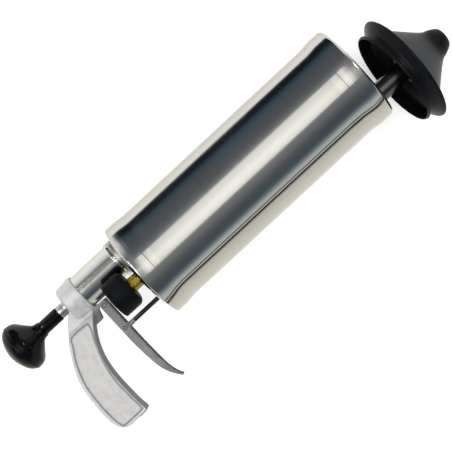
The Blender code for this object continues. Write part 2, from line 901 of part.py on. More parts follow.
def make_needle(station):
    """The pointer on its arbor, which passes through the dial."""
    arbor = bar_along_x("gauge_needle", station - 0.6, station + 4.6, 1.0, GAUGE_Y, GAUGE_Z, 16)
    hub = bar_along_x("needle_hub", station - 0.4, station + 0.9, 2.2, GAUGE_Y, GAUGE_Z, 20)
    blade = block(
        "needle_blade",
        (station, station + 0.5),
        (GAUGE_Y - 11.0, GAUGE_Y + 4.5),
        (GAUGE_Z - 0.6, GAUGE_Z + 0.6),
    )
    join(arbor, hub, blade)
    finish(arbor, NEEDLE_PAINT)


def make_movement(rear):
    """The pressure tube, bent in an arc behind the dial and fed by the fitting's stub."""
    path = bpy.data.curves.new("bourdon_tube", "CURVE")
    path.dimensions = "3D"
    path.bevel_depth = 1.3 * MM
    path.bevel_resolution = 2
    path.use_fill_caps = True
    path.render_resolution_u = 0
    spline = path.splines.new("POLY")
    count = 18
    spline.points.add(count)
    for i in range(count + 1):
        angle = math.radians(-60 + 270 * i / count)
        spline.points[i].co = (0.0, 11.0 * math.cos(angle) * MM, 11.0 * math.sin(angle) * MM, 1.0)
    guide = bpy.data.objects.new("bourdon_path", path)
    guide.location = place(rear + 12.5, GAUGE_Y, GAUGE_Z)
    cutters.objects.link(guide)
    finish(meshed(guide, "bourdon_tube"), BRASS)


make_chamber()
make_caps()
make_barrel()
make_check_valve()
make_gland()
make_plunger()
make_handle()
make_trigger()
make_rod()
make_outlet()
make_cone()
make_gauge()
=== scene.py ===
"""The looks of a hand-pumped compressed-air drain gun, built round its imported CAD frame.

The tool lies on its left side. +X runs forward along the air chamber to the rubber cone, -Y runs down the
pistol grip and the trigger, and +Z is the tool's right side. Lengths along the tool are stations, in
millimetres ahead of the chamber's rear rim. y and z are offsets in millimetres from the chamber's axis.
"""

import json
import math

import bmesh
import bpy
import numpy as np
from mathutils import Matrix, Vector


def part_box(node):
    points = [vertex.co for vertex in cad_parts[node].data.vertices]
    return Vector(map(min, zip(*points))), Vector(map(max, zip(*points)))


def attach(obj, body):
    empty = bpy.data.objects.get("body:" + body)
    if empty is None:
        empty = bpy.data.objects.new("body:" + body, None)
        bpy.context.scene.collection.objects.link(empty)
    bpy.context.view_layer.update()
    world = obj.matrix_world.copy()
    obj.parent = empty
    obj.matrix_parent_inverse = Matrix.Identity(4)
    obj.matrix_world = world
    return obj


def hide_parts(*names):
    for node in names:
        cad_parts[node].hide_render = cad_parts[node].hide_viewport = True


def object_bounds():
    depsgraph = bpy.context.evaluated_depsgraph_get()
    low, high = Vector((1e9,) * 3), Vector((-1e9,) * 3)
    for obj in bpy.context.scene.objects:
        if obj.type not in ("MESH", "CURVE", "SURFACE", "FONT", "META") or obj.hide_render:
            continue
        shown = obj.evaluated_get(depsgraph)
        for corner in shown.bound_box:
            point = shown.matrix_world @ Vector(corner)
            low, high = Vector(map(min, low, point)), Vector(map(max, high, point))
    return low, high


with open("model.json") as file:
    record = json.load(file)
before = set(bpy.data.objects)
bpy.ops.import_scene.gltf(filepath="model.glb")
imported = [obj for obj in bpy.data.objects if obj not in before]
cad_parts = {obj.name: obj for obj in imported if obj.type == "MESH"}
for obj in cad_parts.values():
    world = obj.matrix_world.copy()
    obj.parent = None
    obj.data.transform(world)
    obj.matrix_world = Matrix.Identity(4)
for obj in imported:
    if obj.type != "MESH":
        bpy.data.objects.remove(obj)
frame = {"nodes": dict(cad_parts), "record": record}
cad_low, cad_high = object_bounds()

MM = 0.001
scene = bpy.context.scene

# ---------------------------------------------------------------- places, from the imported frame


def middle(node):
    """The middle of a CAD node's box."""
    low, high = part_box(node)
    return (low + high) / 2


REAR_RIM_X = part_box("chamber_shell")[0].x
CHAMBER = middle("chamber_shell")


def place(station, y=0.0, z=0.0):
    """A point in the frame, in metres, from a station and two offsets in millimetres."""
    return Vector((REAR_RIM_X + station * MM, CHAMBER.y + y * MM, CHAMBER.z + z * MM))


def axis_of(node):
    """The y and z offsets of the line along the tool through the middle of a CAD node."""
    centre = middle(node)
    return (centre.y - CHAMBER.y) / MM, (centre.z - CHAMBER.z) / MM


def stations_of(node):
    """The rear and front stations of a CAD node."""
    low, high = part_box(node)
    return (low.x - REAR_RIM_X) / MM, (high.x - REAR_RIM_X) / MM


PUMP = axis_of("pump_barrel")
OUTLET = axis_of("outlet_tube")
GAUGE = axis_of("gauge_case")

# ---------------------------------------------------------------- camera

camera = bpy.data.cameras.new("camera")
camera.angle = math.radians(18.72)
camera.clip_end = 100.0
camera_object = bpy.data.objects.new("camera", camera)
camera_object.matrix_world = (
    Matrix.Translation((0.0304, 0.00125, 1.3619))
    @ Matrix.Rotation(math.radians(2.17), 4, "Y")
    @ Matrix.Rotation(math.radians(-42.83), 4, "Z")
)
scene.collection.objects.link(camera_object)
scene.camera = camera_object

# ---------------------------------------------------------------- light


def softbox(name, location, size, radiance, colour=(1.0, 1.0, 1.0)):
    """A rectangular light that shines straight down, as bright to the eye as its radiance."""
    light = bpy.data.lights.new(name, "AREA")
    light.shape = "RECTANGLE"
    light.size, light.size_y = size
    light.energy = radiance * math.pi * size[0] * size[1]
    light.color = colour
    lamp = bpy.data.objects.new(name, light)
    lamp.location = location
    lamp.visible_camera = False
    scene.collection.objects.link(lamp)
    return lamp


softbox("overhead_box", (0.03, 0.275, 2.35), (0.78, 1.65), 0.77, (1.0, 0.98, 0.93))
softbox("knob_strip", (-1.00, 0.65, 2.00), (0.18, 1.50), 18.0).visible_diffuse = False
softbox("knob_spot", (1.79, 0.35, 1.50), (0.25, 0.25), 60.0).visible_diffuse = False
softbox("barrel_line", (-0.60, 0.15, 2.00), (0.50, 0.06), 0.6).visible_diffuse = False


def graded(tree, value, low, high, stops, unit=1.0):
    """A colour that runs through (place, colour) stops as a value goes from low to high units."""
    share = tree.nodes.new("ShaderNodeMapRange")
    share.inputs["From Min"].default_value = low * unit
    share.inputs["From Max"].default_value = high * unit
    tree.links.new(value, share.inputs["Value"])
    made = tree.nodes.new("ShaderNodeValToRGB")
    tree.links.new(share.outputs["Result"], made.inputs["Fac"])
    ramp = made.color_ramp
    while len(ramp.elements) < len(stops):
        ramp.elements.new(0.5)
    for element, (at, colour) in zip(ramp.elements, stops):
        element.position = (at - low) / (high - low)
        element.color = (*colour, 1.0)
    return made.outputs["Color"]


def make_world():
    """Pale to the eye and to matt surfaces. Gloss sees a studio with long panels along both sides."""
    world = bpy.data.worlds.new("studio")
    world.use_nodes = True
    scene.world = world
    tree = world.node_tree
    tree.nodes.clear()
    coords = tree.nodes.new("ShaderNodeTexCoord")
    split = tree.nodes.new("ShaderNodeSeparateXYZ")
    tree.links.new(coords.outputs["Generated"], split.inputs[0])
    angle = tree.nodes.new("ShaderNodeMath")
    angle.operation = "ARCTAN2"
    tree.links.new(split.outputs["Y"], angle.inputs[0])
    tree.links.new(split.outputs["Z"], angle.inputs[1])
    # Degrees from straight up, positive towards +Y, and what gloss sees there.
    stops = (
        (-170, (0.95, 0.93, 0.88)),
        (-145, (0.80, 0.79, 0.73)),
        (-120, (0.77, 0.76, 0.69)),
        (-98, (0.63, 0.62, 0.56)),
        (-86, (0.56, 0.57, 0.54)),
        (-75, (0.52, 0.56, 0.55)),
        (-70, (0.42, 0.47, 0.48)),
        (-65, (0.19, 0.23, 0.25)),
        (-60, (0.07, 0.10, 0.12)),
        (-54, (0.055, 0.08, 0.10)),
        (-44, (0.072, 0.085, 0.10)),
        (-36, (0.105, 0.115, 0.125)),
        (-26, (0.17, 0.18, 0.19)),
        (-16, (0.21, 0.22, 0.23)),
        (-6, (0.42, 0.42, 0.41)),
        (3, (0.50, 0.50, 0.48)),
        (14, (0.27, 0.27, 0.27)),
        (23, (0.20, 0.21, 0.22)),
        (43, (0.18, 0.19, 0.20)),
        (54, (0.46, 0.47, 0.47)),
        (65, (0.76, 0.77, 0.76)),
        (90, (1.00, 1.00, 0.96)),
        (123, (1.00, 0.99, 0.95)),
        (146, (0.79, 0.78, 0.72)),
        (175, (0.95, 0.93, 0.88)),
    )
    panels = graded(tree, angle.outputs[0], -180.0, 180.0, stops, math.radians(1.0))
    path = tree.nodes.new("ShaderNodeLightPath")
    choose = tree.nodes.new("ShaderNodeMix")
    choose.data_type = "RGBA"
    choose.inputs["A"].default_value = (1.12, 1.12, 1.12, 1.0)
    tree.links.new(path.outputs["Is Glossy Ray"], choose.inputs["Factor"])
    tree.links.new(panels, choose.inputs["B"])
    background = tree.nodes.new("ShaderNodeBackground")
    tree.links.new(choose.outputs["Result"], background.inputs["Color"])
    output = tree.nodes.new("ShaderNodeOutputWorld")
    tree.links.new(background.outputs[0], output.inputs["Surface"])


make_world()
scene.view_settings.view_transform = "Standard"

# ---------------------------------------------------------------- materials


class Look:
    """A procedural material. Patterns are laid out in the tool's own frame, in metres."""

    def __init__(self, name, metallic=0.0):
        self.name = name
        self.material = bpy.data.materials.new(name)
        self.material.use_nodes = True
        self.tree = self.material.node_tree
        self.shader = self.tree.nodes["Principled BSDF"]
        self.shader.inputs["Metallic"].default_value = metallic
        self.coords = self.tree.nodes.new("ShaderNodeTexCoord").outputs["Object"]
        self.normal = None

    def node(self, kind, outlet, inputs, **settings):
        """Adds a node, sets or links its inputs and returns one of its outputs."""
        made = self.tree.nodes.new("ShaderNode" + kind)
        for key, value in settings.items():
            setattr(made, key, value)
        for key, value in inputs.items():
            self.feed(made.inputs[key], value)
        return made.outputs[outlet]

    def feed(self, socket, value):
        """Links another node's output to a socket, or sets the socket to a plain value."""
        if isinstance(value, bpy.types.NodeSocket):
            self.tree.links.new(value, socket)
        else:
            socket.default_value = value

    def noise(self, scale, detail=3.0, stretch=(1.0, 1.0, 1.0), roughness=0.5):
        """Cloudy noise, from 0 to 1, with scale lumps to a metre along each axis times its stretch."""
        vector = self.node("Mapping", "Vector", {"Vector": self.coords, "Scale": stretch})
        inputs = {"Vector": vector, "Scale": scale, "Detail": detail, "Roughness": roughness}
        return self.node("TexNoise", "Fac", inputs)

    def cells(self, scale):
        """The distance to the nearest of many scattered points."""
        return self.node("TexVoronoi", "Distance", {"Vector": self.coords, "Scale": scale})

    def spread(self, value, low, high, to_low=0.0, to_high=1.0):
        """A value's range from low to high, stretched and clamped to another range."""
        inputs = {
            "Value": value,
            "From Min": low,
            "From Max": high,
            "To Min": to_low,
            "To Max": to_high,
        }
        return self.node("MapRange", "Result", inputs)

    def maths(self, operation, first, second):
        """Two values added, multiplied or compared."""
        made = self.tree.nodes.new("ShaderNodeMath")
        made.operation = operation
        for socket, value in zip(made.inputs, (first, second)):
            self.feed(socket, value)
        return made.outputs[0]

    def blend(self, share, first, second):
        """A colour between two others."""
        made = self.tree.nodes.new("ShaderNodeMix")
        made.data_type = "RGBA"
        self.tree.links.new(share, made.inputs["Factor"])
        for socket, value in ((made.inputs["A"], first), (made.inputs["B"], second)):
            self.feed(socket, (*value, 1.0) if isinstance(value, tuple) else value)
        return made.outputs["Result"]

    def attribute(self, name):
        """The number that store() keeps for each vertex."""
        return self.node("Attribute", "Fac", {}, attribute_name=name)

    def colour(self, socket):
        """Paints the surface with another node's colour."""
        self.tree.links.new(socket, self.shader.inputs["Base Color"])

    def roughness(self, socket):
        """Makes the surface as rough as another node says."""
        self.tree.links.new(socket, self.shader.inputs["Roughness"])

    def bump(self, height, depth, strength=1.0):
        """Raises the surface by height times a depth in millimetres, on top of any earlier bumps."""
        inputs = {"Height": height, "Distance": depth * MM, "Strength": strength}
        if self.normal is not None:
            inputs["Normal"] = self.normal
        self.normal = self.node("Bump", "Normal", inputs)
        self.tree.links.new(self.normal, self.shader.inputs["Normal"])

    def set(self, **values):
        """Sets inputs that are the same all over."""
        for key, value in values.items():
            self.shader.inputs[key.replace("_", " ").title().replace("Ior", "IOR")].default_value = value


def metal(name, dull, bright, rough, grain, stretch, depth, smudge=25.0, painted_groove_shade=(0.03, 0.028, 0.025)):
    """A worn metal with a fine grain stretched one way, soft smudges over it and painted shade in its
    grooves, where a stored number marks them.
    """
    look = Look(name, metallic=1.0)
    lines = look.noise(grain, 4.0, stretch, 0.6)
    smudges = look.noise(smudge, 3.0)
    shade = look.maths("MULTIPLY", look.spread(lines, 0.25, 0.75), look.spread(smudges, 0.2, 0.8, 0.55, 1.0))
    # The stored number marks painted shade: grooves turn towards the dark groove colour and get rougher.
    painted_light_and_dirt = look.attribute("painted_light_and_dirt")
    look.colour(look.blend(painted_light_and_dirt, look.blend(shade, dull, bright), painted_groove_shade))
    smooth, matt = rough
    worn = look.spread(smudges, 0.35, 0.75, smooth, matt)
    sheen = look.maths("ADD", worn, look.spread(lines, 0.3, 0.7, -0.02, 0.03))
    look.roughness(look.maths("ADD", sheen, look.maths("MULTIPLY", painted_light_and_dirt, 0.4)))
    look.bump(lines, depth)
    return look


def stainless():
    """Polished sheet, with a faint waviness as well as its grain."""
    dull, bright = (0.66, 0.65, 0.625), (0.76, 0.75, 0.725)
    look = metal("polished_stainless", dull, bright, (0.11, 0.17), 260.0, (6.0, 0.5, 0.5), 0.012, 9.0)
    look.bump(look.noise(16.0, 2.0, (0.7, 1.0, 1.0)), 0.5, 0.12)
    return look


def steel(name, dull, bright):
    """Plated or blackened steel hardware."""
    return metal(name, dull, bright, (0.28, 0.42), 500.0, (3.0, 1.0, 1.0), 0.02, 120.0)


def cast(name, dull, bright, painted_light_and_dirt, rough):
    """Sand-cast metal: pebbled skin, pits, a dark colour in marked hollows and faces that is partly grime and
    partly painted shade, and rubbed high spots.
    """
    look = Look(name, metallic=0.4)
    grains = look.noise(900.0, 4.0)
    lumps = look.noise(160.0, 3.0)
    pits = look.cells(520.0)
    fine = look.spread(grains, 0.3, 0.7, 0.0, 0.55)
    shade = look.maths("ADD", fine, look.spread(lumps, 0.3, 0.7, 0.0, 0.45))
    skin = look.blend(shade, dull, bright)
    # Marked hollows and faces turn dark and rough: partly grime, partly painted shade.
    hollow_shade_and_grime = look.maths("MULTIPLY", look.attribute("painted_light_and_dirt"), look.spread(grains, 0.2, 0.8, 0.75, 1.0))
    look.colour(look.blend(hollow_shade_and_grime, skin, painted_light_and_dirt))
    look.roughness(look.maths("ADD", look.spread(lumps, 0.2, 0.8, rough - 0.06, rough + 0.06), hollow_shade_and_grime))
    look.bump(grains, 0.10)
    look.bump(look.spread(pits, 0.0, 0.35, 1.0, 0.0), -0.06)
    look.bump(lumps, 0.22)
    return look


def rubber(name, dark, dusty, rough, depth, shine):
    """Moulded rubber: a fine orange-peel skin with dust and rubbed patches, and marked faces lightened
    towards dusty grey, partly dust and partly painted sheen.
    """
    look = Look(name)
    look.set(specular_ior_level=shine)
    skin = look.noise(700.0, 3.0)
    patches = look.noise(38.0, 4.0, roughness=0.6)
    specks = look.spread(look.noise(1800.0, 2.0), 0.66, 0.74)
    dust = look.maths("MAXIMUM", look.spread(patches, 0.45, 0.75), look.maths("MULTIPLY", specks, 0.5))
    # Marked faces turn dusty grey: dust with painted sheen.
    look.colour(look.blend(look.attribute("painted_light_and_dirt"), look.blend(dust, dark, dusty), (0.035, 0.039, 0.045)))
    look.roughness(look.spread(patches, 0.3, 0.7, rough[0], rough[1]))
    look.bump(skin, depth)
    look.bump(patches, 0.15)
    return look


def gloss_plastic():
    """Moulded black plastic, polished by hands, with hairline scuffs."""
    look = Look("black_gloss_plastic")
    scuffs = look.noise(420.0, 5.0, (1.0, 0.2, 3.0), 0.7)
    wear = look.noise(55.0, 3.0)
    look.colour(look.blend(look.spread(wear, 0.4, 0.8), (0.0015, 0.0015, 0.0025), (0.004, 0.004, 0.006)))
    rubbed = look.spread(wear, 0.3, 0.75, 0.05, 0.10)
    look.roughness(look.maths("ADD", rubbed, look.spread(scuffs, 0.55, 0.8, 0.0, 0.10)))
    look.bump(look.noise(30.0, 2.0), 0.25, 0.35)
    look.bump(scuffs, 0.006)
    look.set(specular_ior_level=0.2)
    return look


def paint(name, first, second, rough):
    """Flat paint with a trace of unevenness."""
    look = Look(name)
    mottle = look.noise(260.0, 4.0)
    look.colour(look.blend(look.spread(mottle, 0.3, 0.7), first, second))
    look.roughness(look.spread(mottle, 0.3, 0.7, rough - 0.05, rough + 0.05))
    look.bump(mottle, 0.01)
    return look


def glass():
    """The gauge's lens, with a slight haze."""
    look = Look("clear_lens")
    haze = look.noise(90.0, 3.0)
    look.roughness(look.spread(haze, 0.4, 0.8, 0.02, 0.07))
    look.colour(look.blend(haze, (0.93, 0.95, 0.95), (0.97, 0.98, 0.98)))
    look.set(transmission_weight=1.0, ior=1.46)
    return look


EVEN = (1.0, 1.0, 1.0)
# Stretches grain into stripes along the tool, for the outlet tube's painted reflection stripes.
ALONG_TOOL = (0.05, 1.0, 1.0)
MADE = (
    stainless(),
    metal("chrome", (0.72, 0.72, 0.70), (0.82, 0.81, 0.78), (0.09, 0.14), 300.0, EVEN, 0.004),
    # A darker copy of chrome for the outlet tube: painted shade with painted reflection stripes.
    metal("chrome_with_painted_shade", (0.05, 0.05, 0.052), (0.30, 0.30, 0.30), (0.16, 0.24), 900.0, ALONG_TOOL, 0.004),
    steel("zinc_steel", (0.50, 0.49, 0.47), (0.70, 0.69, 0.67)),
    steel("blackened_steel", (0.035, 0.03, 0.028), (0.10, 0.09, 0.085)),
    steel("spring_steel", (0.34, 0.34, 0.35), (0.52, 0.52, 0.53)),
    # Each cast look's third colour is its dark colour for grime and painted shade.
    cast("cast_aluminium", (0.50, 0.49, 0.485), (0.74, 0.73, 0.725), (0.08, 0.08, 0.08), 0.5),
    cast("lever_aluminium", (0.14, 0.142, 0.146), (0.28, 0.283, 0.288), (0.03, 0.03, 0.03), 0.42),
    metal("brass", (0.24, 0.17, 0.02), (0.48, 0.36, 0.05), (0.2, 0.34), 420.0, EVEN, 0.02, 150.0),
    rubber("black_rubber", (0.004, 0.0045, 0.006), (0.006, 0.007, 0.009), (0.28, 0.40), 0.025, 0.12),
    rubber("boot_rubber", (0.003, 0.004, 0.005), (0.005, 0.007, 0.008), (0.4, 0.55), 0.03, 0.08),
    gloss_plastic(),
    paint("dial_paint", (0.80, 0.80, 0.77), (0.86, 0.86, 0.83), 0.5),
    paint("needle_paint", (0.03, 0.03, 0.03), (0.06, 0.06, 0.06), 0.4),
    glass(),
)
LOOKS = {look.name: look for look in MADE}

for subpart in frame["record"]["subparts"]:
    node = frame["nodes"][subpart["node"]]
    node.data.materials.clear()
    node.data.materials.append(LOOKS[subpart["material_slot"]].material)

# ---------------------------------------------------------------- making shapes


def settle(thing, body, slot, replaced=(), sharp=40.0, look=None):
    """Gives a finished mesh its material, its shading and the body it rides on."""
    thing.data.materials.clear()
    thing.data.materials.append(LOOKS[look or slot].material)
    thing.data.shade_smooth()
    thing.data.set_sharp_from_angle(angle=math.radians(sharp))
    if not thing.users_collection:
        scene.collection.objects.link(thing)
    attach(thing, body)
    if replaced:
        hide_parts(*replaced)
    return thing


def mesh_object(name, vertices, faces):
    """A mesh object in the frame, with its faces turned outwards."""
    mesh = bpy.data.meshes.new(name)
    mesh.from_pydata([tuple(v) for v in vertices], [], faces)
    work = bmesh.new()
    work.from_mesh(mesh)
    bmesh.ops.remove_doubles(work, verts=work.verts, dist=1e-7)
    bmesh.ops.recalc_face_normals(work, faces=work.faces)
    work.to_mesh(mesh)
    work.free()
    return bpy.data.objects.new(name, mesh)


def filleted(points, size, cuts=5, closed=True):
    """Rounds every corner of an outline. size is one distance in millimetres, or one for each point."""
    rounded = []
    count = len(points)
    sizes = size if isinstance(size, (list, tuple)) else [size] * count
    for i, (point, reach) in enumerate(zip(points, sizes)):
        if reach == 0 or (not closed and i in (0, count - 1)):
            rounded.append(tuple(point))
            continue
        corner = Vector(point)
        before = Vector(points[i - 1]) - corner
        after = Vector(points[(i + 1) % count]) - corner
        reach = min(reach, 0.48 * before.length, 0.48 * after.length)
        start = corner + before.normalized() * reach
        end = corner + after.normalized() * reach
        for k in range(cuts + 1):
            t = k / cuts
            rounded.append(tuple(start * (1 - t) ** 2 + corner * 2 * t * (1 - t) + end * t * t))
    return rounded


def through(points, cuts=6, closed=False):
    """A smooth curve through every point."""
    count = len(points)
    knots = [Vector(p) for p in points]
    curve = []
    for i in range(count if closed else count - 1):
        a = knots[i - 1] if closed or i > 0 else knots[i]
        b = knots[i]
        c = knots[(i + 1) % count]
        d = knots[(i + 2) % count] if closed or i + 2 < count else c
        for k in range(cuts):
            t = k / cuts
            slope = (c - a) * t
            bend = (2 * a - 5 * b + 4 * c - d) * t**2
            twist = (3 * b - a - 3 * c + d) * t**3
            curve.append(tuple(0.5 * (2 * b + slope + bend + twist)))
    if not closed:
        curve.append(tuple(knots[-1]))
    return curve


def lathe_mesh(name, profile, axis=(0.0, 0.0), steps=96, ripple=None, angles=None):
    """Turns (station, radius) pairs about a line along the tool. A profile that touches the axis at both
    ends is solid; any other closes on itself. ripple(station, angle, radius) may move the surface out."""
    if angles is None:
        angles = [2 * math.pi * k / steps for k in range(steps)]
    vertices = []
    rings = []
    for station, radius in profile:
        if radius < 1e-6:
            rings.append([len(vertices)])
            vertices.append(place(station, *axis))
            continue
        rings.append(list(range(len(vertices), len(vertices) + len(angles))))
        for angle in angles:
            out = radius + (ripple(station, angle, radius) if ripple else 0.0)
            y = axis[0] + out * math.sin(angle)
            z = axis[1] + out * math.cos(angle)
            vertices.append(place(station, y, z))
    faces = []
    closed = profile[0][1] > 1e-6
    for i in range(len(rings) if closed else len(rings) - 1):
        a, b = rings[i], rings[(i + 1) % len(rings)]
        for k in range(len(angles)):
            n = (k + 1) % len(angles)
            if len(a) == 1 and len(b) == 1:
                continue
            if len(a) == 1:
                faces.append((a[0], b[n], b[k]))
            elif len(b) == 1:
                faces.append((a[k], a[n], b[0]))
            else:
                faces.append((a[k], a[n], b[n], b[k]))
    return mesh_object(name, vertices, faces)


def lathe(name, profile, axis, body, slot, replaced=(), steps=96, round_by=0.0, sharp=40.0, look=None):
    """A turned piece, with its corners rounded."""
    if round_by:
        profile = filleted(profile, round_by, 4, closed=profile[0][1] > 1e-6)
    return settle(lathe_mesh(name, profile, axis, steps), body, slot, replaced, sharp, look)


def solid_of(outline, thickness, centre_z=0.0, name="plate"):
    """A flat outline of (station, y) points with a thickness across the tool."""
    count = len(outline)
    vertices = []
    for side in (-0.5, 0.5):
        vertices += [place(s, y, centre_z + side * thickness) for s, y in outline]
    faces = [tuple(range(count)), tuple(range(count, 2 * count))]
    faces += [(k, (k + 1) % count, count + (k + 1) % count, count + k) for k in range(count)]
    return mesh_object(name, vertices, faces)


def bar_across(station, y, radius, half, centre_z=0.0, steps=48):
    """A round bar from side to side."""
    angles = [2 * math.pi * k / steps for k in range(steps)]
    outline = [(station + radius * math.cos(a), y + radius * math.sin(a)) for a in angles]
    return solid_of(outline, 2 * half, centre_z)


def bar_along(rear, front, radius, axis, steps=64):
    """A round bar along the tool."""
    return lathe_mesh("bar", [(front, 0.0), (front, radius), (rear, radius), (rear, 0.0)], axis, steps)


def box_between(stations, ys, zs):
    """A block between two stations, two ys and two zs."""
    outline = [(stations[0], ys[0]), (stations[1], ys[0]), (stations[1], ys[1]), (stations[0], ys[1])]
    return solid_of(outline, zs[1] - zs[0], (zs[0] + zs[1]) / 2)


def bar_of_section(rear, front, section):
    """A straight bar along the tool with (y, z) corners."""
    count = len(section)
    vertices = [place(s, y, z) for s in (rear, front) for y, z in section]
    faces = [tuple(range(count)), tuple(range(count, 2 * count))]
    faces += [(k, (k + 1) % count, count + (k + 1) % count, count + k) for k in range(count)]
    return mesh_object("bar", vertices, faces)


def apply_modifiers(thing):
    """Turns an object's modifiers into its mesh."""
    bpy.context.view_layer.update()
    evaluated = thing.evaluated_get(bpy.context.evaluated_depsgraph_get())
    mesh = bpy.data.meshes.new_from_object(evaluated)
    thing.modifiers.clear()
    thing.data = mesh
    return thing


def combined(thing, *others, operation="DIFFERENCE"):
    """Cuts other objects out of a thing, or joins them on, and uses them up."""
    for piece in (thing, *others):
        if not piece.users_collection:
            scene.collection.objects.link(piece)
    for other in others:
        boolean = thing.modifiers.new("with", "BOOLEAN")
        boolean.operation = operation
        boolean.solver = "EXACT"
        boolean.object = other
    apply_modifiers(thing)
    for other in others:
        bpy.data.objects.remove(other, do_unlink=True)
    return thing


def softened(thing, voxel, rounds):
    """Casts a thing afresh in one skin, with every corner rounded off."""
    remesh = thing.modifiers.new("skin", "REMESH")
    remesh.mode = "VOXEL"
    remesh.voxel_size = voxel * MM
    smooth = thing.modifiers.new("round", "SMOOTH")
    smooth.factor = 0.5
    smooth.iterations = rounds
    return apply_modifiers(thing)


def points_of(thing):
    """A mesh's vertices as (station, y, z) rows in millimetres."""
    co = np.empty(len(thing.data.vertices) * 3)
    thing.data.vertices.foreach_get("co", co)
    co = co.reshape(-1, 3)
    return (co - np.array(place(0.0))) / MM


def move_points(thing, points):
    """Puts a mesh's vertices at (station, y, z) rows in millimetres."""
    co = points * MM + np.array(place(0.0))
    thing.data.vertices.foreach_set("co", co.ravel())
    thing.data.update()


def inside_distance(points, outline):
    """How far each (station, y) point is inside a closed outline, negative outside."""
    edge_from = np.array(outline, float)
    edge_to = np.roll(edge_from, -1, axis=0)
    nearest = np.full(len(points), 1e9)
    inside = np.zeros(len(points), bool)
    for start, end in zip(edge_from, edge_to):
        along = end - start
        offset = points - start
        share = np.clip(offset @ along / max(along @ along, 1e-12), 0, 1)
        nearest = np.minimum(nearest, np.hypot(*(offset - share[:, None] * along).T))
        crosses = (start[1] > points[:, 1]) != (end[1] > points[:, 1])
        if along[1]:
            at = start[0] + (points[:, 1] - start[1]) * along[0] / along[1]
            inside ^= crosses & (points[:, 0] < at)
    return np.where(inside, nearest, -nearest)


def smoothstep(values, low, high):
    """Goes from 0 to 1 without a corner as the values go from low to high."""
    t = np.clip((values - low) / (high - low), 0.0, 1.0)
    return t * t * (3 - 2 * t)


def store(thing, name, values):
    """Keeps one number for each vertex, for the material to read."""
    layer = thing.data.attributes.new(name, "FLOAT", "POINT")
    layer.data.foreach_set("value", np.asarray(values, np.float32))


def hexagon(name, rear, front, across, bore, axis, body, slot, replaced):
    """A hexagonal nut or body: chamfered corners, rounded edges and perhaps a bore, with a flat facing +Z."""
    steps = 96
    chamfer = 0.8
    fillet = 0.35
    flat = across / 2
    corner = flat / math.cos(math.pi / 6)

    def radius_at(angle):
        off = (angle + math.pi / 6) % (math.pi / 3) - math.pi / 6
        return min(flat / math.cos(off), corner - fillet)

    slope = 0.55 * chamfer
    levels = ((front, chamfer), (front - slope, 0.0), (rear + slope, 0.0), (rear, chamfer))
    vertices = []
    rings = []
    angles = [2 * math.pi * k / steps for k in range(steps)]

    def ring(station, radii):
        rings.append(list(range(len(vertices), len(vertices) + steps)))
        for angle, radius in zip(angles, radii):
            y = axis[0] + radius * math.sin(angle)
            z = axis[1] + radius * math.cos(angle)
            vertices.append(place(station, y, z))

    for station, inward in levels:
        ring(station, [min(radius_at(a), corner - inward) for a in angles])
    if bore:
        for station, wide in ((rear, 0.4), (rear + 0.4, 0.0), (front - 0.4, 0.0), (front, 0.4)):
            ring(station, [bore + wide] * steps)
    faces = []
    for i in range(len(rings) if bore else len(rings) - 1):
        a, b = rings[i], rings[(i + 1) % len(rings)]
        faces += [(a[k], a[(k + 1) % steps], b[(k + 1) % steps], b[k]) for k in range(steps)]
    if not bore:
        faces += [tuple(rings[0]), tuple(rings[-1])]
    return settle(mesh_object(name, vertices, faces), body, slot, replaced, 25.0)


# ---------------------------------------------------------------- air chamber

BODY_RADIUS = 50.8
BAND_RADIUS = 52.2
CHAMBER_LENGTH = stations_of("chamber_shell")[1]
REAR_ROUND = 1.8
FRONT_ROUND = 4.0
SEAM_ANGLE = math.radians(-44.2)
REAR_BEADS = (12.4, 17.2)
FRONT_BEADS = (16.0, 20.8)
TUBE_HOLE_RADIUS = 10.2


def band_line(beads, rounding):
    """One end's outline from the body to the rolled rim, as (distance inside the rim, radius)."""
    outer, inner = beads
    line = []
    for distance in np.arange(inner + 8.0, outer - 4.0, -0.3):
        share = float(smoothstep(inner + 7.5 - distance, 0.0, inner - outer + 9.5))
        crease = max(math.exp(-(((distance - b) / 0.45) ** 2)) for b in beads)
        line.append((distance, BODY_RADIUS + (BAND_RADIUS - BODY_RADIUS) * share - 0.045 * crease))
    for k in range(11):
        angle = math.pi / 2 * k / 10
        reach = rounding * (1 - math.sin(angle))
        line.append((reach, BAND_RADIUS - rounding * (1 - math.cos(angle))))
    curl = [(0.0, 47.9), (0.12, 47.4), (0.45, 47.1), (1.0, 47.0)]
    tuck = [(1.6, 47.2), (2.6, 48.0), (3.4, 48.8), (5.5, 50.0)]
    return line + curl + tuck


def seam_distance(station, angle):
    """How far round the body a point is from the lock seam's fold, which bends over at both ends."""
    turn = (angle - SEAM_ANGLE + math.pi) % (2 * math.pi) - math.pi
    bend = np.interp(
        station,
        (-1.0, 6.0, 15.0, 24.0, 238.0, 262.0, 272.0, 277.0, 280.0),
        (-3.6, -2.4, -0.4, 0.0, 0.0, -1.2, -1.5, 1.2, 4.5),
    )
    return turn * BODY_RADIUS - bend


def seam_ripple(station, angle, radius):
    """The lock seam: a folded strip along the chamber between a wide groove and a hairline."""
    if radius < BODY_RADIUS - 1.0:
        return 0.0
    shape = np.interp(
        seam_distance(station, angle),
        (-1.9, -1.2, 1.0, 1.5, 1.8, 3.1, 3.4, 3.9, 4.3, 4.7),
        (0.0, -0.6, -0.6, 0.12, 0.26, 0.2, 0.05, -0.3, -0.1, 0.0),
    )
    return float(shape)


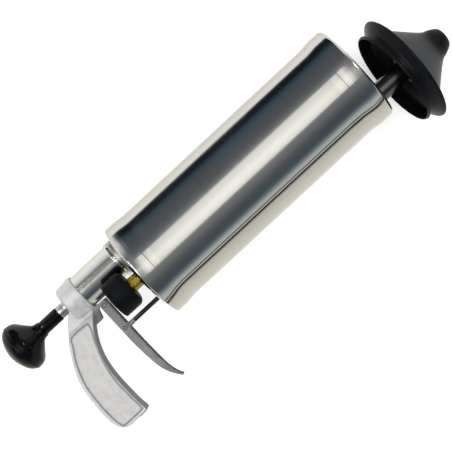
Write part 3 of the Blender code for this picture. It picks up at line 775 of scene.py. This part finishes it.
def make_chamber():
    """The polished body, with finer steps where the seam runs."""
    angles = set(2 * math.pi * k / 168 for k in range(168))
    angles |= set((SEAM_ANGLE + t / BODY_RADIUS) % (2 * math.pi) for t in np.arange(-6.0, 9.0, 0.16))
    angles = sorted(angles)
    rear = band_line(REAR_BEADS, REAR_ROUND)
    front = [(CHAMBER_LENGTH - d, r) for d, r in reversed(band_line(FRONT_BEADS, FRONT_ROUND))]
    body = [(s, BODY_RADIUS) for s in np.linspace(CHAMBER_LENGTH - 30.0, 26.0, 60)]
    thing = lathe_mesh("chamber_body", front + body + rear, ripple=seam_ripple, angles=angles)
    points = points_of(thing)
    around = np.arctan2(points[:, 1], points[:, 2])
    off = np.array([seam_distance(s, a) for s, a in zip(points[:, 0], around)])
    # Painted shade: the seam's wide groove and hairline are stored for the material to darken and roughen.
    wide = 0.98 * np.exp(-(((off + 0.1) / 1.55) ** 4))
    hairline = 0.85 * np.exp(-(((off - 3.9) / 0.5) ** 4)) * smoothstep(268.0 - points[:, 0], 0.0, 6.0)
    outside = np.hypot(points[:, 1], points[:, 2]) > BODY_RADIUS - 1.5
    store(thing, "painted_light_and_dirt", np.where(outside, np.maximum(wide, hairline), 0.0))
    settle(thing, "chamber", "polished_stainless", ("chamber_shell",), 30.0)


def cap(name, line, mirrored, holes, node):
    """A pressed end, turned from its outer face as (distance inside the rim, radius) from the skirt in."""
    inner = [(d + 1.2, r - 0.4 if r > 1.0 else 0.0) for d, r in line[4:]]
    skin = line[::-1] + [(line[0][0], line[0][1] - 1.2)] + inner
    if mirrored:
        skin = [(CHAMBER_LENGTH - d, r) for d, r in skin]
    thing = lathe_mesh(name, skin, steps=144)
    combined(thing, *holes)
    settle(thing, "chamber", "polished_stainless", (node,), 30.0)


def make_caps():
    """The dished rear end, with its three holes, and the recessed front end."""
    barrel = (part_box("pump_barrel")[1].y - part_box("pump_barrel")[0].y) / 2 / MM
    rear_holes = [
        bar_along(-12, 12, barrel + 0.2, PUMP),
        bar_along(-12, 12, 4.7, OUTLET),
        bar_along(-12, 12, 6.4, GAUGE),
    ]
    dish = [(9.0, 50.0), (5.0, 49.8), (3.4, 48.0), (2.4, 46.4), (1.0, 45.0)]
    dish += [(-1.2, 42.8), (-2.8, 40.2), (-3.2, 38.0)]
    cap("rear_end", through(dish, 5) + [(-3.2, 30.0), (-3.2, 0.0)], False, rear_holes, "rear_cap")
    pan = [(11.0, 50.0), (8.0, 49.8), (6.4, 48.6), (5.2, 47.0), (4.8, 45.0)]
    tube_hole = bar_along(265, 290, TUBE_HOLE_RADIUS, OUTLET)
    cap("front_end", through(pan, 5) + [(4.8, 30.0), (4.8, 0.0)], True, [tube_hole], "front_cap")


# ---------------------------------------------------------------- pump

BARREL_RADIUS = 17.6


def make_pump():
    """The barrel, its ring and seal at the rear end of the chamber, and the rod's gland."""
    rear, front = stations_of("pump_barrel")
    outline = [(front, 16.2), (front, BARREL_RADIUS), (rear, BARREL_RADIUS), (rear, 16.2)]
    lathe("barrel", outline, PUMP, "chamber", "chrome", ("pump_barrel",), 128, 0.4)
    rear, front = stations_of("barrel_ring")
    outline = [(front, 17.7), (front, 18.5), (front - 1.0, 19.0)]
    outline += [(rear + 1.0, 19.0), (rear, 18.4), (rear, 17.7)]
    lathe("barrel_bead", outline, PUMP, "chamber", "chrome", ("barrel_ring",), 128, 0.5)
    rear, front = stations_of("barrel_washer")
    outline = [(front, 17.7), (front, 19.0), (rear, 19.1), (rear, 17.7)]
    seal_of = ("barrel_washer",)
    lathe("barrel_seal", outline, PUMP, "chamber", "blackened_steel", seal_of, 128, 0.5, look="zinc_steel")
    rear, front = stations_of("pump_gland")
    outline = [(front, 5.3), (front, 15.9), (-71.2, 15.9), (-71.2, 6.6), (-78.4, 6.6)]
    outline += [(-78.4, 6.1), (-79.2, 6.1), (-79.2, 6.6), (rear, 6.6), (rear, 5.3)]
    lathe("gland", outline, PUMP, "chamber", "zinc_steel", ("pump_gland",), 96, 0.35)


def make_plunger():
    """The sleeve on the rod, and the mushroom knob with its moulding line."""
    rear, front = stations_of("knob_sleeve")
    outline = [(front, 5.3), (front, 6.6), (front - 1.2, 7.0), (rear, 7.0), (rear, 5.3)]
    lathe("sleeve", outline, PUMP, "plunger", "black_gloss_plastic", ("knob_sleeve",), 96, 0.6)
    swell = [(-107.6, 8.1), (-112.9, 9.1), (-118.6, 14.8), (-124.4, 21.7), (-128.0, 24.1), (-132.0, 25.1)]
    swell += [(-136.2, 24.7), (-141.2, 21.2), (-145.4, 14.2), (-147.9, 6.8), (-148.7, 0.0)]
    ridge = []
    for station, radius in through(swell, 6):
        raised = 0.35 * math.exp(-(((station + 135.0) / 0.7) ** 2)) if radius > 20 else 0.0
        ridge.append((station, radius + raised))
    profile = [(-128.4, 0.0), (-128.4, 5.3), (-107.5, 5.3), (-107.5, 7.6)] + ridge
    lathe("knob", profile, PUMP, "plunger", "black_gloss_plastic", ("pump_knob",), 128, sharp=50.0)


# ---------------------------------------------------------------- handle

GRIP_OUTLINE = [
    (-74.0, 20.0), (-79.8, 16.2), (-86.4, 9.8), (-97.4, -4.4), (-109.0, -23.4), (-116.4, -42.4),
    (-119.2, -66.0), (-119.2, -82.0), (-117.2, -92.0), (-112.4, -98.6), (-106.0, -100.9),
    (-97.0, -101.0), (-87.5, -101.0), (-84.2, -99.0), (-85.2, -88.0), (-85.7, -68.0),
    (-84.9, -51.0), (-82.2, -36.0), (-76.9, -22.2), (-69.3, -9.8), (-60.2, 1.8), (-56.2, 10.0),
    (-58.0, 20.0),
]
PANEL_OUTLINE = [
    (-91.4, -1.1), (-73.4, -1.1), (-70.6, -3.2), (-71.4, -8.2), (-78.3, -23.2), (-85.0, -42.2),
    (-88.0, -61.2), (-87.8, -80.1), (-87.1, -94.4), (-89.2, -97.4), (-110.2, -97.4),
    (-112.9, -95.4), (-114.9, -88.0), (-115.5, -76.0), (-115.0, -60.0), (-112.5, -42.2),
    (-105.4, -23.1), (-96.8, -9.0),
]
LUG_OUTLINE = [
    (-71.0, -8.6), (-58.6, -8.6), (-57.4, -7.4), (-55.0, 0.6), (-53.6, 1.6), (-51.3, 1.6),
    (-51.6, 0.0), (-51.0, -2.1), (-49.5, -3.6), (-47.4, -4.2), (-45.3, -3.6), (-43.8, -2.1),
    (-43.2, 0.0), (-43.8, 2.1), (-45.3, 3.6), (-47.4, 4.6), (-54.0, 5.4), (-56.5, 12.0),
    (-61.0, 12.0), (-71.0, 4.0),
]
GRIP_THICKNESS = 22.0
PIVOT_STATION = -47.4
PIN_RADIUS = 2.0
SCREW_STATION = -64.8


def make_handle():
    """Grip, collar and lug cast in one skin, with a sunk panel on both sides, and the collar's screw."""
    casting = solid_of(through(GRIP_OUTLINE, 5, closed=True), GRIP_THICKNESS, name="casting")
    outline = [(-55.3, 0.0), (-55.3, 19.5), (-61.0, 19.5), (-64.0, 18.9)]
    outline += [(-72.4, 18.6), (-75.0, 16.8), (-75.0, 0.0)]
    collar = lathe_mesh("collar", outline, PUMP, 96)
    for side in (-1, 1):
        section = [(-5.2, side * 12.0), (3.0, side * 6.0), (26.0, side * 6.0), (26.0, side * 12.0)]
        combined(casting, bar_of_section(-100.0, -40.0, section))
    lug = solid_of(filleted(LUG_OUTLINE, 1.0), 9.0)
    combined(casting, collar, lug, operation="UNION")
    bore = bar_along(-71.6, -30, BARREL_RADIUS + 0.3, PUMP, 96)
    gland_hole = bar_along(-95, -60, 6.9, PUMP)
    pin_hole = bar_across(PIVOT_STATION, 0.0, PIN_RADIUS + 0.3, 20)
    screw_hole = bar_across(SCREW_STATION, PUMP[0], 2.3, 6, centre_z=-21.1)
    combined(casting, bore, gland_hole, pin_hole, screw_hole)
    softened(casting, 0.5, 14)
    points = points_of(casting)
    flat = points[:, :2]
    depth_in = inside_distance(flat, through(PANEL_OUTLINE, 5, closed=True))
    half = np.interp(points[:, 1], (-5.2, 3.0), (GRIP_THICKNESS / 2, 6.0))
    face = smoothstep(np.abs(points[:, 2]), half - 1.6, half - 0.6)
    below_collar = smoothstep(-points[:, 1], -3.0, -1.0)
    recess = 0.55 * smoothstep(depth_in, -0.2, 0.9)
    groove = 0.75 * np.exp(-(((depth_in - 0.5) / 0.75) ** 2))
    bead = -0.22 * np.exp(-(((depth_in - 2.2) / 0.8) ** 2))
    sink = face * below_collar * (recess + groove + bead)
    points[:, 2] -= np.sign(points[:, 2]) * sink
    move_points(casting, points)
    # Darker in the panel's groove: partly grime, partly painted shade.
    painted_light_and_dirt = face * (0.70 * np.exp(-(((depth_in - 0.45) / 0.7) ** 2)) + 0.05 * smoothstep(depth_in, 0.5, 2.0))
    # Painted shade down the grip's finger-side face, below the collar.
    middle_line = np.interp(points[:, 1], (-100, -60, -20, 0, 12), (-98, -101, -91, -78, -66))
    edge = inside_distance(flat, through(GRIP_OUTLINE, 5, closed=True))
    finger_side_shade = smoothstep(points[:, 0] - middle_line, 2.0, 5.0) * smoothstep(1.7 - edge, 0.0, 1.0)
    painted_light_and_dirt = np.maximum(painted_light_and_dirt, 0.78 * finger_side_shade * smoothstep(-points[:, 1], -10.0, 2.0))
    # Painted shade on the narrow lug between the grip's faces, ahead of station -66.
    web_shade = smoothstep(5.6 - np.abs(points[:, 2]), 0.0, 0.5) * (points[:, 0] > -66.0) * (points[:, 1] < 6.0)
    painted_light_and_dirt = np.maximum(painted_light_and_dirt, 0.42 * web_shade)
    store(casting, "painted_light_and_dirt", np.clip(painted_light_and_dirt, 0.0, 1.0))
    settle(casting, "chamber", "cast_aluminium", ("handle_casting",), 60.0)
    casting.name = "casting"
    screw = bar_across(SCREW_STATION, PUMP[0], 2.0, 1.0, centre_z=-19.2)
    screw.name = "set_screw"
    combined(screw, bar_across(SCREW_STATION, PUMP[0], 1.0, 1.5, -21.0, 6))
    settle(screw, "chamber", "blackened_steel", ("collar_set_screw",), 30.0)


# ---------------------------------------------------------------- trigger and valve rod

LEVER_REAR_EDGE = [
    (-51.6, 3.0), (-51.6, -24.0), (-51.6, -42.4), (-50.9, -58.0), (-49.0, -75.8), (-46.2, -85.3),
    (-42.8, -92.0), (-37.4, -99.8),
]
LEVER_FRONT_EDGE = [
    (-36.6, -99.2), (-39.4, -94.4), (-41.8, -86.0), (-43.0, -74.0), (-43.5, -58.0), (-43.7, -42.0),
    (-43.6, -20.0), (-43.6, 3.0), (-45.0, 5.0), (-50.0, 5.0),
]
LEVER_DEPTH = 19.0
LEVER_WALL = 2.4
LINK_STATION = -47.0
LINK_RADIUS = 1.5


def make_trigger():
    """The channel lever, open to the front, with its pivot pin and the pin that draws the rod."""
    inner = LEVER_DEPTH / 2 - LEVER_WALL
    rear_edge = through(LEVER_REAR_EDGE, 4)
    front_edge = through(LEVER_FRONT_EDGE, 4)
    lever = solid_of(rear_edge + front_edge, LEVER_DEPTH, name="lever")
    channel_edge = [(s + LEVER_WALL, y) for s, y in rear_edge if y < -20 and y > -76]
    channel_top = (LEVER_REAR_EDGE[0][0] + LEVER_WALL, 20.0)
    channel = solid_of([channel_top, *channel_edge, (-30.0, -70.0), (-30.0, 20.0)], 2 * inner)
    fork = box_between((-60, -31), (-12.5, 19), (-inner - 0.05, inner + 0.05))
    window = box_between((-60, -45), (-35.5, -23.5), (-4.6, 4.6))
    pivot_hole = bar_across(PIVOT_STATION, 0.0, PIN_RADIUS + 0.25, 20)
    link_hole = bar_across(LINK_STATION, OUTLET[0], LINK_RADIUS + 0.25, 20)
    combined(lever, channel, fork, window, pivot_hole, link_hole)
    softened(lever, 0.42, 3)
    points = points_of(lever)
    # Painted shade inside the lever's channel, stored for the material to darken.
    hollow_shade_and_grime = smoothstep(inner + 0.4 - np.abs(points[:, 2]), 0.0, 1.2)
    store(lever, "painted_light_and_dirt", np.clip(0.55 * hollow_shade_and_grime, 0, 1))
    settle(lever, "trigger", "lever_aluminium", ("trigger_lever",), 60.0)
    for name, body, node, station, y, radius in (
        ("pivot_pin", "chamber", "trigger_pivot_pin", PIVOT_STATION, 0.0, PIN_RADIUS),
        ("linking_pin", "trigger", "link_pin", LINK_STATION, OUTLET[0], LINK_RADIUS),
    ):
        half = (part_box(node)[1].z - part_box(node)[0].z) / 2 / MM
        outline = [(half, 0.0), (half, radius - 0.35), (half - 0.35, radius)]
        outline += [(-s, r) for s, r in reversed(outline)]
        pin = lathe_mesh(name, outline, steps=40)
        turn = Matrix.Rotation(-math.pi / 2, 4, "Y")
        pin.data.transform(Matrix.Translation(place(station, y)) @ turn @ Matrix.Translation(-place(0.0)))
        settle(pin, body, "zinc_steel", (node,), 30.0, "lever_aluminium")


def make_rod():
    """The eye end and the rod that open the outlet valve, and the bush in the rear cap."""
    front = stations_of("rod_clevis")[1]
    outline = [(front, 0.0), (front, 2.2), (front - 0.5, 2.6), (front - 1.4, 2.6), (front - 1.7, 2.3)]
    outline += [(front - 2.0, 2.6), (-49.5, 2.6), (-49.5, 0.0)]
    clevis = lathe_mesh("clevis", filleted(outline, 0.2, 2, closed=False), OUTLET, 64)
    eye = bar_across(LINK_STATION, OUTLET[0], 4.0, 3.4, steps=64)
    combined(clevis, eye, operation="UNION")
    combined(clevis, bar_across(LINK_STATION, OUTLET[0], 2.7, 10, steps=48))
    settle(clevis, "outlet_valve", "zinc_steel", ("rod_clevis",), 30.0)
    rear, front = stations_of("valve_rod")
    outline = [(front, 0.0), (front, 2.25), (rear, 2.25), (rear, 0.0)]
    lathe("rod", outline, OUTLET, "outlet_valve", "blackened_steel", ("valve_rod",), 64, 0.3)
    outline = [(5.8, 2.5), (5.8, 4.5), (-3.4, 4.5), (-3.4, 7.0), (-4.6, 7.0), (-4.6, 2.5)]
    lathe("rod_bush", outline, OUTLET, "chamber", "zinc_steel", ("rod_gland",), 72, 0.3)


# ---------------------------------------------------------------- outlet and cone

FLANGE_STATION = 314.0
CONE_LEAN = math.radians(7.8)
CONE_SWING = math.radians(2.6)
CONE_OUTSIDE = [
    (48.5, 5.0), (48.5, 8.4), (45.8, 11.4), (40.0, 14.4), (31.2, 18.5), (8.4, 39.0), (4.2, 43.8),
    (2.1, 52.0), (0.9, 55.8), (-0.6, 56.8), (-2.4, 55.4), (-6.0, 51.0), (-8.8, 48.9), (-11.2, 48.7),
    (-14.2, 49.9), (-16.0, 48.8),
]
CONE_INSIDE = [
    (-15.7, 48.0), (-10.0, 47.4), (-3.0, 47.0), (1.6, 42.0), (17.0, 23.6), (18.0, 18.0),
    (15.0, 14.6), (-2.0, 14.6),
]


def make_outlet():
    """The tube that carries the cone, and the nut that holds it to the chamber's front end."""
    rear, front = stations_of("outlet_tube")
    outline = [(front, 8.6), (front, 10.0), (rear, 10.0), (rear, 8.6)]
    # The tube wears the darker chrome copy: painted shade with painted reflection stripes.
    lathe("tube", outline, OUTLET, "chamber", "chrome", ("outlet_tube",), 96, 0.5, look="chrome_with_painted_shade")
    rear, front = stations_of("outlet_outer_nut")
    hexagon("tube_nut", rear, front, 25.0, 10.15, OUTLET, "chamber", "zinc_steel", ("outlet_outer_nut",))


def make_cone():
    """The rubber cone, turned round the tube's line and then leaned about the middle of its flange."""
    outside = through(CONE_OUTSIDE, 4)
    inside = through(CONE_INSIDE, 4)
    line = outside + inside + [(-2.0, 5.6), (-1.4, 5.0)]
    profile = [(FLANGE_STATION + a, r) for a, r in line]
    thing = lathe_mesh("cone", profile, OUTLET, 160)
    hub = place(FLANGE_STATION, *OUTLET)
    lean = Matrix.Rotation(-CONE_SWING, 4, "Z") @ Matrix.Rotation(CONE_LEAN, 4, "Y")
    thing.data.transform(Matrix.Translation(hub) @ lean @ Matrix.Translation(-hub))
    combined(thing, bar_along(FLANGE_STATION - 12, 340.3, TUBE_HOLE_RADIUS, OUTLET, 96))
    points = points_of(thing)
    ahead = points[:, 0] - FLANGE_STATION
    off_axis = np.hypot(*(points[:, 1:] - np.array([OUTLET])).T)
    # The cone's front face turns dusty grey: dust with painted sheen.
    face_dust_and_sheen = smoothstep(ahead + 0.12 * off_axis, 5.0, 9.0) * smoothstep(52.0 - off_axis, 0.0, 6.0)
    store(thing, "painted_light_and_dirt", face_dust_and_sheen * (1.0 - smoothstep(ahead, 27.0, 33.0)))
    settle(thing, "chamber", "black_rubber", ("rubber_cone",), 40.0)


# ---------------------------------------------------------------- gauge


def lettering(name, text, size, y, z, station):
    """A small printed number that faces backwards, upright when the grip points down."""
    curve = bpy.data.curves.new(name, "FONT")
    curve.body = text
    curve.size = size * MM
    curve.align_x = "CENTER"
    curve.align_y = "CENTER"
    curve.extrude = 0.03 * MM
    guide = bpy.data.objects.new(name, curve)
    guide.matrix_world = Matrix.Translation(place(station, y, z)) @ Matrix(
        ((0, 0, -1, 0), (0, 1, 0, 0), (1, 0, 0, 0), (0, 0, 0, 1))
    )
    scene.collection.objects.link(guide)
    bpy.context.view_layer.update()
    mesh = bpy.data.meshes.new_from_object(guide.evaluated_get(bpy.context.evaluated_depsgraph_get()))
    mesh.transform(guide.matrix_world)
    bpy.data.objects.remove(guide, do_unlink=True)
    return bpy.data.objects.new(name, mesh)


def joined(name, things):
    """One mesh made of several."""
    work = bmesh.new()
    for thing in things:
        work.from_mesh(thing.data)
        bpy.data.objects.remove(thing, do_unlink=True)
    mesh = bpy.data.meshes.new(name)
    work.to_mesh(mesh)
    work.free()
    return bpy.data.objects.new(name, mesh)


def dial_point(share, radius):
    """Where a reading falls on the dial, from the bottom round through -Z and +Y."""
    angle = math.radians(270.0) * share
    return GAUGE[0] - radius * math.cos(angle), GAUGE[1] - radius * math.sin(angle)


def make_gauge():
    """The gauge in its rubber boot, with a marked dial, on a brass hexagon and stub."""
    rear, front = stations_of("gauge_boot")
    boot = 19.0
    outline = [(front, 7.2), (front, 15.6), (front - 3.4, boot), (rear + 4.4, boot)]
    outline += [(rear + 4.0, boot - 0.5), (rear + 3.4, boot - 0.5), (rear + 3.0, boot), (rear, boot - 0.2)]
    outline += [(rear, 15.2), (rear + 1.5, 15.2), (rear + 1.5, 16.8), (front - 2.0, 16.8), (front - 2.0, 7.2)]
    rounding = (0.5, 1.8, 1.8, 0.4, 0.3, 0.3, 0.4, 1.2, 0.6, 0.3, 0.3, 0.3, 0.3)
    lathe("boot", outline, GAUGE, "chamber", "boot_rubber", ("gauge_boot",), 128, rounding)
    outline = [(rear + 4.3, 14.2), (rear + 4.3, 16.6), (rear + 1.8, 16.6)]
    outline += [(rear + 1.8, 15.4), (rear + 2.6, 14.2)]
    lathe("bezel", outline, GAUGE, "chamber", "chrome", ("gauge_bezel",), 128, 0.4)
    outline = [(rear + 3.6, 0.0), (rear + 3.6, 13.8), (rear + 2.4, 13.8)]
    outline += [(rear + 2.1, 9.0), (rear + 1.9, 0.0)]
    lathe("lens", outline, GAUGE, "chamber", "clear_lens", ("gauge_lens",), 96, 0.2)
    face = rear + 7.35
    marks = []
    for k in range(51):
        long = k % 5 == 0
        y0, z0 = dial_point(k / 50, 13.2)
        y1, z1 = dial_point(k / 50, 10.9 if long else 12.1)
        side = Vector((z0 - z1, y1 - y0)).normalized() * (0.2 if long else 0.1)
        corners = [(y0 + side.x, z0 + side.y), (y1 + side.x, z1 + side.y)]
        corners += [(y1 - side.x, z1 - side.y), (y0 - side.x, z0 - side.y)]
        vertices = [place(face - 0.06, *c) for c in corners] + [place(face + 0.02, *c) for c in corners]
        faces = [(0, 1, 2, 3), (4, 5, 6, 7), (0, 1, 5, 4), (1, 2, 6, 5), (2, 3, 7, 6), (3, 0, 4, 7)]
        marks.append(mesh_object("mark", vertices, faces))
    for k in range(0, 11, 2):
        y, z = dial_point(k / 10, 8.6)
        marks.append(lettering("number", str(k), 3.4, y, z, face - 0.02))
    settle(joined("dial_marks", marks), "chamber", "needle_paint", (), 30.0)
    hexagon("brass_hexagon", front + 0.3, -4.2, 13.2, 0.0, GAUGE, "chamber", "brass", ("gauge_fitting",))
    front = stations_of("gauge_fitting")[1]
    outline = [(front, 1.6), (front, 6.2), (-4.0, 6.2), (-4.0, 1.6)]
    lathe("brass_stub", outline, GAUGE, "chamber", "brass", (), 64, 0.3)


make_chamber()
make_caps()
make_pump()
make_plunger()
make_handle()
make_trigger()
make_rod()
make_outlet()
make_cone()
make_gauge()

# ---------------------------------------------------------------- stage


def make_flag():
    """A dark card beside the chamber that only gloss sees, graded from black to grey."""
    outline = [(-0.225, -0.27), (1.0, -0.27), (1.0, 1.86), (-0.33, 1.86), (-0.225, 0.30)]
    flag = mesh_object("dark_flag", [(x, 1.0, z) for x, z in outline], [(0, 1, 2, 3, 4)])
    material = bpy.data.materials.new("flag_cloth")
    material.use_nodes = True
    tree = material.node_tree
    tree.nodes.clear()
    coords = tree.nodes.new("ShaderNodeTexCoord")
    split = tree.nodes.new("ShaderNodeSeparateXYZ")
    tree.links.new(coords.outputs["Object"], split.inputs[0])
    # Heights in metres, and how bright the card is there.
    stops = (
        (-0.27, (0.13, 0.138, 0.138)),
        (-0.19, (0.02, 0.024, 0.028)),
        (-0.06, (0.004, 0.007, 0.011)),
        (0.10, (0.008, 0.015, 0.024)),
        (0.22, (0.036, 0.056, 0.075)),
        (0.42, (0.056, 0.085, 0.113)),
        (0.74, (0.08, 0.094, 0.108)),
        (1.03, (0.095, 0.10, 0.11)),
        (1.35, (0.125, 0.136, 0.15)),
        (1.60, (0.15, 0.165, 0.18)),
        (1.86, (0.24, 0.26, 0.27)),
    )
    glow = tree.nodes.new("ShaderNodeEmission")
    tree.links.new(graded(tree, split.outputs["Z"], -0.30, 1.90, stops), glow.inputs["Color"])
    output = tree.nodes.new("ShaderNodeOutputMaterial")
    tree.links.new(glow.outputs[0], output.inputs["Surface"])
    flag.data.materials.append(material)
    scene.collection.objects.link(flag)
    flag.visible_camera = False
    flag.visible_diffuse = False
    flag.visible_shadow = False
    flag.visible_transmission = False


def make_floor():
    """A wide pale floor just under the tool."""
    half = 9.0
    level = cad_low.z - 0.0002
    corners = [(-half, -half, level), (half, -half, level), (half, half, level), (-half, half, level)]
    floor = mesh_object("floor", corners, [(0, 1, 2, 3)])
    look = Look("floor_paper")
    mottle = look.noise(3.0, 2.0)
    look.colour(look.blend(mottle, (0.93, 0.93, 0.93), (0.95, 0.95, 0.95)))
    look.set(roughness=0.9, emission_color=(1.0, 1.0, 1.0, 1.0), emission_strength=0.35)
    floor.data.materials.append(look.material)
    scene.collection.objects.link(floor)
    floor.visible_glossy = False


make_flag()
make_floor()
